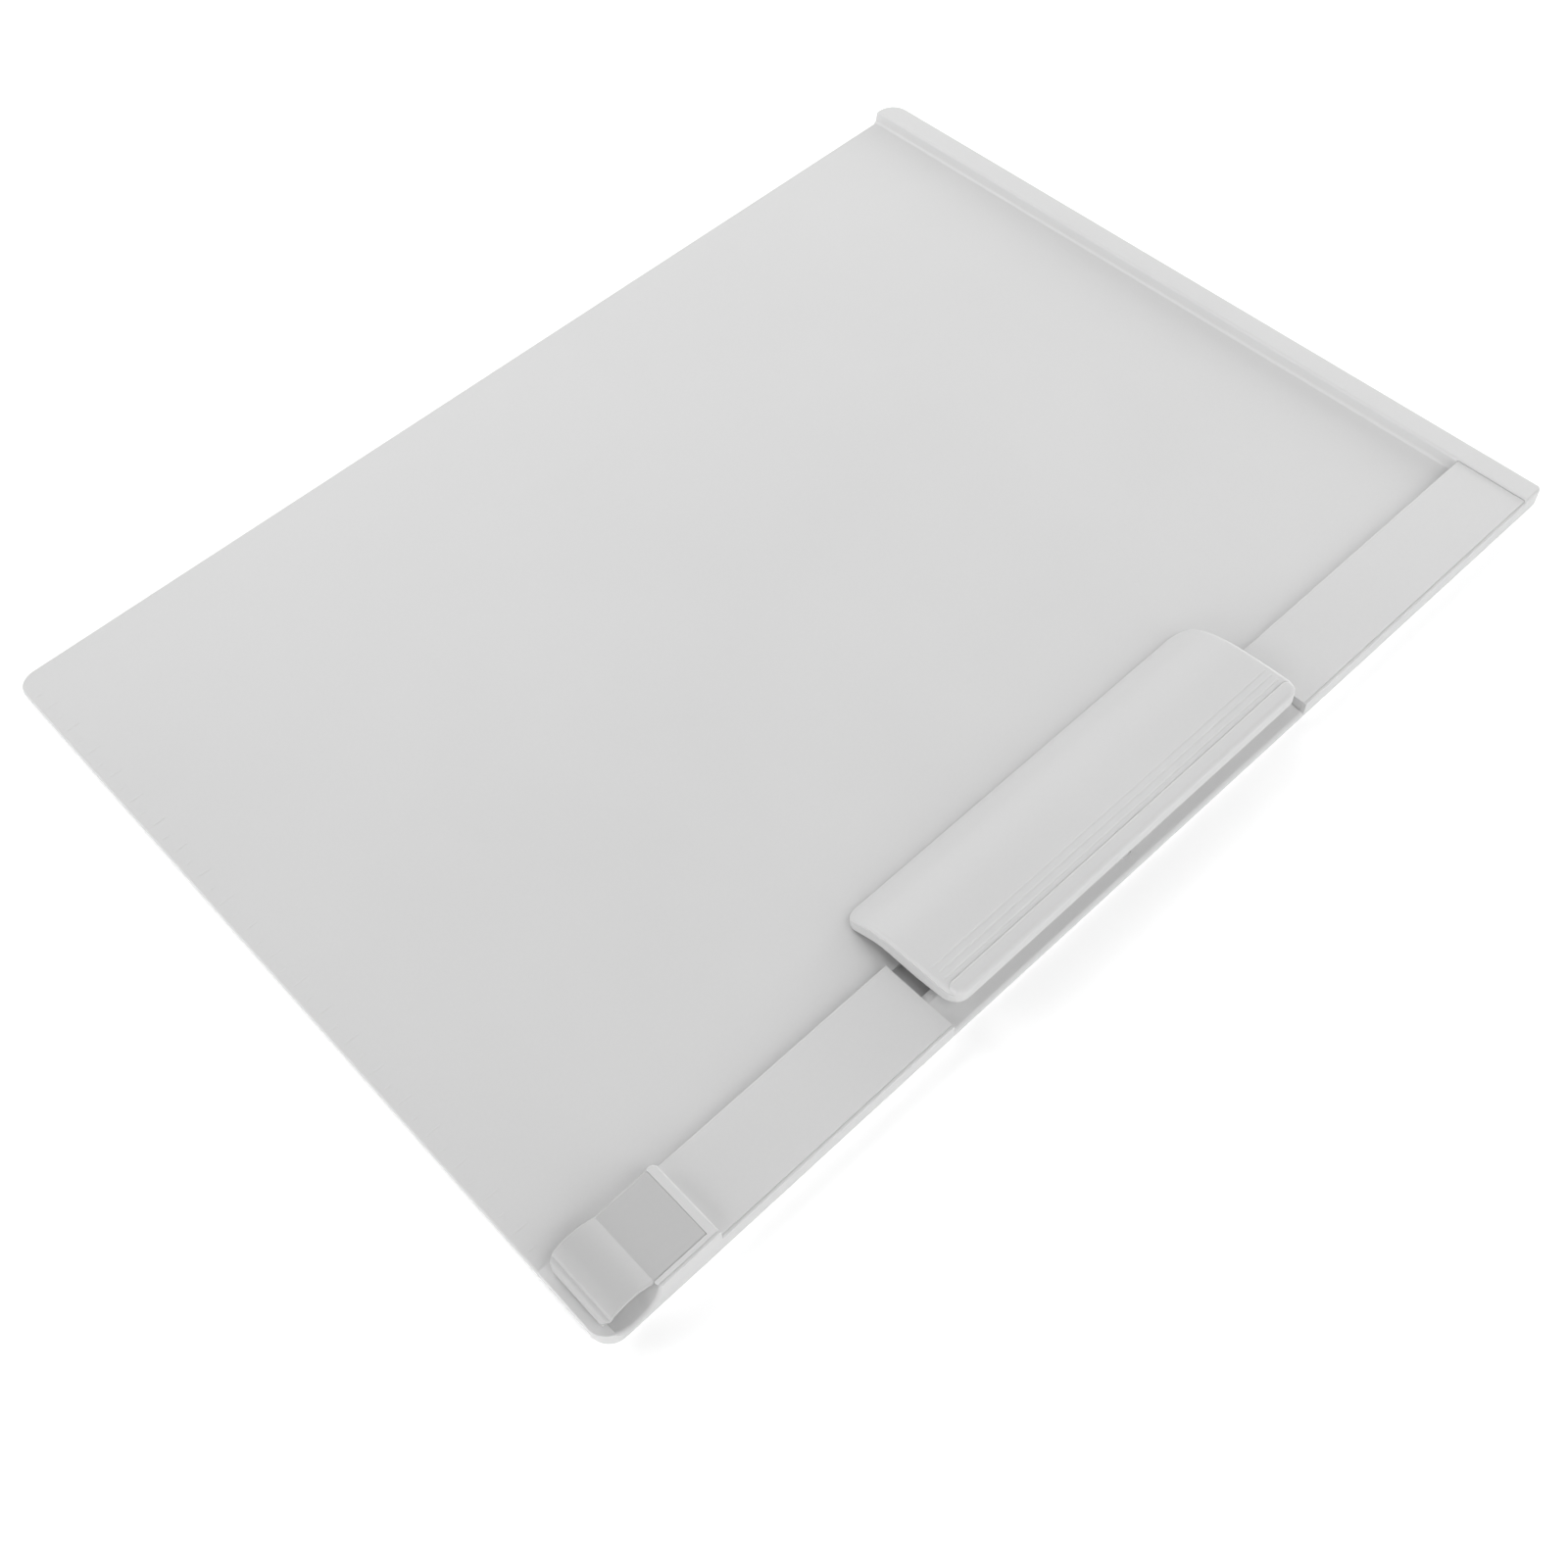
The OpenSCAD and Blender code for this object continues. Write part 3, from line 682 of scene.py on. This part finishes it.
def build_lever():
    """The lever's skin with its hollow, lugs, stiffening ribs, bore and the slot of its pad."""
    left = [CLIP_X - LEVER_HALF + s for s in END_STEPS]
    right = [CLIP_X + LEVER_HALF - s for s in reversed(END_STEPS)]
    middle = [left[-1] + (right[0] - left[-1]) * i / 12 for i in range(1, 12)]
    lever = loft("clip_lever_shell", [lever_ring(x) for x in left + middle + right])
    inside = LEVER_HALF - SKIRT_T
    boolean(lever, [prism("cut", LEVER_HOLLOW, "x", CLIP_X - inside, CLIP_X + inside)])
    lugs = [lug(CLIP_X + side * (d + LUG_T / 2))
            for side in (-1, 1) for d in (LUG_INNER, LUG_OUTER)]
    half = STIFFENER_T / 2
    ribs = [block("rib", CLIP_X + d - half, CLIP_X + d + half, LIP_Y + 1, LIP_Y + 9, 9.6, LUG_TOP)
            for d in STIFFENER_XS]
    boolean(lever, [joined("lugs", lugs + ribs)], "UNION")
    bore = arc(PIN_Y, PIN_Z, PIN_R + 0.05, 0, 360, 48)[:-1]
    low, high = node_box("jaw_pad")
    slot = block("cut", low[0] - GAP, high[0] + GAP, low[1] - GAP, high[1] + GAP, 1, high[2])
    boolean(lever, [prism("cut", bore, "x", RX0, RX1), slot])
    return lever


lever = smooth(build_lever(), 40)
place_piece(lever, clip_plastic, "clip_plastic", "clip", "clip_lever")

pad = cad_copy("jaw_pad_strip", "jaw_pad")
soften(pad, every_edge, 0.12)
place_piece(smooth(pad), rubber, "rubber", "clip", "jaw_pad")

# ---------------------------------------------------------------- pen clip leaf

LEAF_T = 1.1
LEAF_CORNER_R = 2
RISE_X = TROUGH_X + TROUGH_R        # foot of the hump

# Upper side of the hump from its foot, and of the bead from its crease to the tip, in X and Z
LEAF_HUMP = [(RISE_X, BLOCK_Z), (RISE_X - 1.2, BLOCK_Z + 0.72), (RISE_X - 2.4, BLOCK_Z + 1.28),
             (RISE_X - 3.7, BLOCK_Z + 1.68), (RISE_X - 5.1, BLOCK_Z + 1.87),
             (RISE_X - 6.5, BLOCK_Z + 1.9), (RISE_X - 8, BLOCK_Z + 1.76),
             (RISE_X - 9.2, BLOCK_Z + 1.4), (RISE_X - 10.2, BLOCK_Z + 0.93),
             (RISE_X - 10.75, BLOCK_Z + 0.62), (RISE_X - 11, BLOCK_Z + 0.35)]
LEAF_BEAD = [(RISE_X - 11.15, BLOCK_Z), (RISE_X - 11.27, BLOCK_Z - 0.27),
             (RISE_X - 11.5, BLOCK_Z - 0.36), (RISE_X - 11.85, BLOCK_Z - 0.47),
             (RISE_X - 12.2, BLOCK_Z - 0.72), (RISE_X - 12.5, BLOCK_Z - 1.2),
             (RISE_X - 12.72, 7.4), (LEAF_X0 + 0.05, 6.9), (LEAF_X0, 6.4),
             (LEAF_X0 + 0.05, 6.05), (LEAF_X0 + 0.2, 5.8)]
BEAD_T = [0.75, 0.75, 0.8, 0.85, 0.9, 0.95, 0.95, 0.95, 0.85, 0.7, 0.45]     # its thickness
LEAF_FRONT, LEAF_BACK = LEAF_Y0 - 0.22, LEAF_Y1 - 0.1    # its sides
LEAF_ROOT = LEAF_X1 + 0.26          # its root, beside the rib
THIN_X = RISE_X - 9                 # where the hump begins to get thinner
LEAF_UPPER_R, LEAF_LOWER_R = 0.45, 0.2   # rounding of its long edges


def leaf_ring(top, low):
    """Rounded strip section between a point of the upper side and one of the lower."""
    depth = (low - top).length
    upper_r, lower_r = min(LEAF_UPPER_R, depth * 0.45), min(LEAF_LOWER_R, depth * 0.25)
    draw = quarter(LEAF_CORNER_R, top.x - LEAF_X0)
    side = [(upper_r * (1 - math.sin(t)), upper_r * (1 - math.cos(t)))
            for t in (0, 0.32, 0.63, 0.94, 1.26, math.pi / 2)]
    side += [(0, depth - lower_r), (lower_r * 0.3, depth - lower_r * 0.3), (lower_r, depth)]
    left = [(LEAF_FRONT + draw + e, d) for e, d in side]
    right = [(LEAF_BACK - draw - e, d) for e, d in reversed(side)]
    ring = []
    for y, d in left + right:
        p = top + (low - top) * (d / depth)
        ring.append((p.x, y, p.y))
    return ring


def build_leaf():
    """The leaf as a strip along its upper side, with the tongue that holds it in the block."""
    flat = [(LEAF_ROOT, BLOCK_Z - 0.12), (LEAF_ROOT - 0.04, BLOCK_Z - 0.03),
            (LEAF_ROOT - 0.12, BLOCK_Z)]
    flat += [(LEAF_X1 + (RISE_X - LEAF_X1) * t, BLOCK_Z) for t in (0.1, 0.4, 0.7, 0.97)]
    curve = flat + spline(LEAF_HUMP, 6)
    thick = [LEAF_T - 0.35 * max((THIN_X - x) / 2, 0) for x, _ in curve] + BEAD_T
    curve += LEAF_BEAD
    rings = []
    for i, (p, t) in enumerate(zip(curve, thick)):
        a, b = Vector(curve[max(i - 1, 0)]), Vector(curve[min(i + 1, len(curve) - 1)])
        along = (b - a).normalized()
        rings.append(leaf_ring(Vector(p), Vector(p) + Vector((-along.y, along.x)) * t))
    leaf = loft("pen_clip_leaf_shell", rings)
    tongue = block("tongue", LEAF_X1 - 2.5, LEAF_X1 - 1.5, LEAF_Y0 + 2.2, LEAF_Y1 - 1.8, 5.4,
                   BLOCK_Z - LEAF_T + 0.3)
    return boolean(leaf, [tongue], "UNION")


leaf = smooth(build_leaf(), 30)
# The leaf takes the darker copy of the plastic; its darkness is painted shade.
leaf.data.materials.append(leaf_plastic_painted_shade)
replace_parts(leaf, "pen_clip_leaf")
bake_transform(leaf)

# ---------------------------------------------------------------- pin and snap rings

# Radius, and place along X
pin_ends = [(PIN_R - 0.3, PIN_X0), (PIN_R - 0.05, PIN_X0 + 0.2), (PIN_R, PIN_X0 + 0.4),
            (PIN_R, PIN_X1 - 0.4), (PIN_R - 0.05, PIN_X1 - 0.2), (PIN_R - 0.3, PIN_X1)]
pin = turned("hinge_pin_rod", (PIN_Y, PIN_Z), pin_ends, "x")
place_piece(smooth(pin), steel, "steel", "board", "hinge_pin")

RETAINER_R, RETAINER_T = 2.2, 0.5
RETAINER_X = 55.4       # from the clip's middle


def retainer(x):
    """A snap ring: a flat C about the pin, open downwards."""
    outline = arc(PIN_Y, PIN_Z, RETAINER_R, -60, 240, 40)
    outline += arc(PIN_Y, PIN_Z, PIN_R + 0.01, 235, -55, 40)
    ring = prism("ring", outline, "x", x - RETAINER_T / 2, x + RETAINER_T / 2)
    return soften(ring, every_edge, 0.06, 2)


rings = joined("pin_retainer_rings", [retainer(CLIP_X - RETAINER_X), retainer(CLIP_X + RETAINER_X)])
place_piece(smooth(rings), steel, "steel", "board", "pin_retainers")

# ---------------------------------------------------------------- springs

WIRE_R, COIL_R = 0.4, 1.9
COIL_X, COIL_PITCH, COIL_TURNS = 26, 0.95, 10.5      # COIL_X is from the clip's middle
COIL_STEPS = 24         # points in a turn
POCKET_Y, POCKET_Z = BY0 + 10.2, 1.9    # the cradle's pocket, where the lower leg lies


def build_spring(name, side):
    """Torsion spring: a leg in the pocket, the coil about the pin and a leg under the lever."""
    end = COIL_X + COIL_PITCH * COIL_TURNS
    coil = []
    for i in range(int(COIL_TURNS * COIL_STEPS) + 1):
        a = math.pi - math.tau * i / COIL_STEPS
        coil.append((COIL_X + COIL_PITCH * i / COIL_STEPS, PIN_Y + COIL_R * math.sin(a),
                     PIN_Z + COIL_R * math.cos(a)))
    low_leg = spline([(COIL_X - 0.4, POCKET_Y + 0.7, POCKET_Z + 0.45),
                      (COIL_X - 0.2, PIN_Y - 2.2, POCKET_Z + 0.5), coil[0]], 6)
    high_leg = spline([coil[-1], (end + 0.2, PIN_Y - 2.4, PIN_Z + 2.7),
                       (end + 0.3, LIP_Y + 5.5, 10.4)], 8)
    path = low_leg[:-1] + coil + high_leg[1:]
    spring = tube(name, [(CLIP_X + side * x, y, z) for x, y, z in path], WIRE_R)
    smooth(spring)
    spring.data.materials.append(spring_steel)
    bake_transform(spring)
    return spring


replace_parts(build_spring("spring_left", -1), "torsion_spring_left")
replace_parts(build_spring("spring_right", 1), "torsion_spring_right")

# ---------------------------------------------------------------- screws

CORE_R, THREAD_R = 0.84, 1       # of the screws
THREADS, THREAD_PITCH = 6, 0.42


def build_screw():
    """Countersunk screw at the origin, head down, with a cross recess and grooves for a thread."""
    profile = [(1.5, 0.1), (1.64, 0.13), (1.7, 0.22), (THREAD_R, 0.95), (CORE_R, 1.1)]
    for i in range(THREADS):
        z = 1.2 + THREAD_PITCH * i
        profile += [(CORE_R, z), (THREAD_R, z + 0.14), (THREAD_R, z + 0.2), (CORE_R, z + 0.34)]
    profile += [(0.8, 3.78), (0.6, 3.9)]
    screw = turned("screw", (0, 0), profile, steps=32)
    cuts = []
    for wide, deep in ((1.0, 0.2), (0.2, 1.0)):
        rings = []
        for z, f in ((-0.1, 1.05), (0.75, 0.5)):
            x, y = max(wide * f, 0.16), max(deep * f, 0.16)
            rings.append([(-x, -y, z), (x, -y, z), (x, y, z), (-x, y, z)])
        cuts.append(loft("cut", rings))
    return boolean(screw, cuts)


screw = smooth(build_screw())
for node in SCREW_NODES:
    copies = []
    for x, y in screw_places(node):
        copy = bpy.data.objects.new("copy", screw.data.copy())
        copy.data.transform(Matrix.Translation((x * MM, y * MM, 0)))
        copies.append(copy)
    place_piece(joined(node + "_set", copies), steel, "steel", "board", node)
bpy.data.objects.remove(screw)

# ---------------------------------------------------------------- ruler marks

MARK_W, MARK_H = 0.3, 0.05
MARK_STEP = 5           # from one mark to the next
MARK_LONG, MARK_SHORT = MARK_X1 - MARK_X0, 1.5
MARK_LAYERS = ((0, -0.02), (0, 0.03), (0.02, 0.04), (0.06, MARK_H))      # inset, and height


def ruler_mark(y, length):
    """A low moulded bar with round ends and a drawn-in top."""
    rings = []
    for inset, z in MARK_LAYERS:
        r = MARK_W / 2 - inset
        ring = arc(MARK_X0 + length - MARK_W / 2, y, r, -90, 90, 8)
        ring += arc(MARK_X0 + MARK_W / 2, y, r, 90, 270, 8)
        rings.append([(px, py, BOARD_T + z) for px, py in ring])
    return loft("mark", rings)


marks = []
for i in range(round((MARK_Y1 - MARK_Y0 - MARK_W) / MARK_STEP) + 1):
    length = MARK_LONG if i % 2 == 0 else MARK_SHORT
    marks.append(ruler_mark(MARK_Y0 + MARK_W / 2 + MARK_STEP * i, length))
place_piece(smooth(joined("ruler_marks", marks)), mark_plastic, "ruler_marks", "board", "ruler_scale")

# ---------------------------------------------------------------- floor, light and camera

DOME_LOW = 0.75          # brightness of the surroundings near the horizon
DOME_TOP = 0.03          # and overhead
FLOOR_GLOW = 0.22        # light of the white table itself
FLOOR_HALF = 3 / MM      # half the side of the table
FLOOR_DROP = 0.02        # keeps the table just clear of the board

# Soft lamps: place in metres, diameter and power
LAMPS = {"back_left": ((-1.025, 1.025, 0.676), 0.8, 5.6),
         "back": ((0.05, 0.65, 0.5), 0.5, 1.96),
         "back_right": ((0.45, 0.5, 0.55), 0.5, 1.05),
         "front_high": ((0, -0.918, 1.311), 0.8, 5.6),
         "overhead": ((-0.293, -0.293, 1.546), 0.6, 2.0),
         "front_left": ((-1.025, -1.025, 0.676), 0.8, 3.85),
         "left_low": ((-1.58, 0, 0.25), 0.5, 4.2),
         "right_low": ((1.58, 0, 0.25), 0.5, 7.5),
         "rail": ((0.6, 0.1, 0.2), 0.3, 0.7),
         "front_low": ((0.1, -0.6, 0.35), 0.4, 0.76)}

# Camera: focal length, place in metres, and its own right and upward directions
LENS, SENSOR = 41.32, 36
CAMERA_PLACE = Vector((-0.18887, -0.23060, 0.35687))
CAMERA_RIGHT = Vector((0.728895, -0.682467, -0.054311))
CAMERA_UP = Vector((0.590262, 0.586260, 0.554877))


def build_floor():
    """A white table with a faint glow of its own."""
    corners = [(-FLOOR_HALF, -FLOOR_HALF, 0), (FLOOR_HALF, -FLOOR_HALF, 0),
               (FLOOR_HALF, FLOOR_HALF, 0), (-FLOOR_HALF, FLOOR_HALF, 0)]
    floor = mesh_object("floor", corners, [(0, 1, 2, 3)])
    floor.location.z = -FLOOR_DROP * MM
    material = bpy.data.materials.new("floor_white")
    material.use_nodes = True
    shader = material.node_tree.nodes["Principled BSDF"]
    shader.inputs["Base Color"].default_value = (0.9, 0.9, 0.9, 1)
    shader.inputs["Roughness"].default_value = 0.9
    shader.inputs["Specular IOR Level"].default_value = 0.1
    shader.inputs["Emission Color"].default_value = (1, 1, 1, 1)
    shader.inputs["Emission Strength"].default_value = FLOOR_GLOW
    floor.data.materials.append(material)


def build_dome():
    """Surroundings that are bright at the horizon and dim overhead."""
    world = bpy.data.worlds.new("studio")
    bpy.context.scene.world = world
    world.use_nodes = True
    tree = world.node_tree
    background = tree.nodes["Background"]
    direction = tree.nodes.new("ShaderNodeTexCoord")
    height = tree.nodes.new("ShaderNodeSeparateXYZ")
    tree.links.new(direction.outputs["Generated"], height.inputs[0])
    fade = tree.nodes.new("ShaderNodeMapRange")
    fade.inputs["From Min"].default_value = 0.15
    fade.inputs["From Max"].default_value = 0.95
    fade.inputs["To Min"].default_value = DOME_LOW
    fade.inputs["To Max"].default_value = DOME_TOP
    tree.links.new(height.outputs["Z"], fade.inputs["Value"])
    tree.links.new(fade.outputs[0], background.inputs["Strength"])
    background.inputs["Color"].default_value = (1, 1, 1, 1)


def add_light(name, spot, size, power):
    """A round soft lamp that faces the origin."""
    data = bpy.data.lights.new(name, "AREA")
    data.shape = "DISK"
    data.size = size
    data.energy = power
    light = bpy.data.objects.new(name, data)
    light.location = spot
    light.rotation_euler = (-Vector(spot)).to_track_quat("-Z", "Y").to_euler()
    linked(light)


def build_camera():
    """Makes the camera the scene's own."""
    data = bpy.data.cameras.new("camera")
    data.sensor_width = SENSOR
    data.lens = LENS
    view = bpy.data.objects.new("camera", data)
    turn = Matrix((CAMERA_RIGHT, CAMERA_UP, CAMERA_RIGHT.cross(CAMERA_UP))).transposed()
    view.matrix_world = Matrix.LocRotScale(CAMERA_PLACE, turn, None)
    linked(view)
    bpy.context.scene.camera = view


build_floor()
build_dome()
for name, (spot, size, power) in LAMPS.items():
    add_light(name, spot, size, power)
bpy.context.scene.view_settings.view_transform = "Standard"
build_camera()
